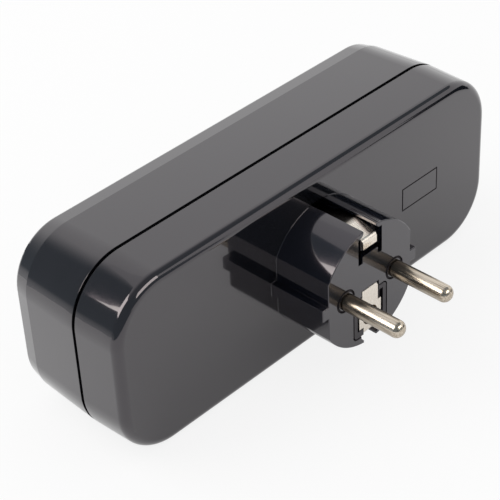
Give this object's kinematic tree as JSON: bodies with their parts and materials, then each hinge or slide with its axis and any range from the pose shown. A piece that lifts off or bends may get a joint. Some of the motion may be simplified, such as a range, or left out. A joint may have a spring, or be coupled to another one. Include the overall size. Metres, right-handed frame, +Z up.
{
  "type": "three-way socket adapter",
  "caption": "Long black plug-in adapter with an earthed round plug on its back and a row of recessed sockets with child-safety shutters on its front.",
  "frame": {"origin": "centre of the plug's face, on the plug's axis", "axes": "+X along the casing, -Y the way the pins point, +Y out of the sockets, +Z up"},
  "size_m": [0.1436, 0.0769, 0.054],
  "materials": {
    "casing": "glossy black moulded plastic",
    "plug": "glossy black moulded plastic",
    "insert": "black moulded plastic, satin",
    "pin": "polished nickel plate on brass",
    "earth_strip": "nickel-plated spring strip",
    "bracket": "nickel-plated spring strip",
    "contact_metal": "bare brass strip",
    "inner_moulding": "dark grey moulded plastic",
    "shutter": "dark grey moulded plastic, smooth",
    "spring": "bright spring steel"
  },
  "bodies": {
    "casing": {"rear_cover": "casing", "front_cover": "casing", "plug_body": "plug", "plug_insert": "insert", "plug_pin_left": "pin", "plug_pin_right": "pin", "earth_strip_upper": "earth_strip", "earth_strip_lower": "earth_strip", "earth_sleeve": "contact_metal", "line_link": "contact_metal", "neutral_link": "contact_metal", "earth_link": "contact_metal", "line_rail": "contact_metal", "neutral_rail": "contact_metal", "earth_rail": "contact_metal", "contact_base": "inner_moulding", "socket_well_1": "casing", "earth_bracket_1": "bracket", "shutter_tray_1": "inner_moulding", "shutter_spring_1": "spring", "socket_well_2": "casing", "earth_bracket_2": "bracket", "shutter_tray_2": "inner_moulding", "shutter_spring_2": "spring", "socket_well_3": "casing", "earth_bracket_3": "bracket", "shutter_tray_3": "inner_moulding", "shutter_spring_3": "spring"},
    "slide_1": {"shutter_1": "shutter"},
    "slide_2": {"shutter_2": "shutter"},
    "slide_3": {"shutter_3": "shutter"}
  },
  "joints": [
    {"name": "shutter_1_slide", "type": "slide", "parent": "casing", "child": "slide_1", "axis": [1, 0, 0], "range_m": [0, 0.0065], "stiffness_N_per_m": 100, "springref_m": -0.004, "deforming": ["shutter_spring_1"]},
    {"name": "shutter_2_slide", "type": "slide", "parent": "casing", "child": "slide_2", "axis": [1, 0, 0], "range_m": [0, 0.0065], "stiffness_N_per_m": 100, "springref_m": -0.004, "deforming": ["shutter_spring_2"]},
    {"name": "shutter_3_slide", "type": "slide", "parent": "casing", "child": "slide_3", "axis": [1, 0, 0], "range_m": [0, 0.0065], "stiffness_N_per_m": 100, "springref_m": -0.004, "deforming": ["shutter_spring_3"]}
  ]
}
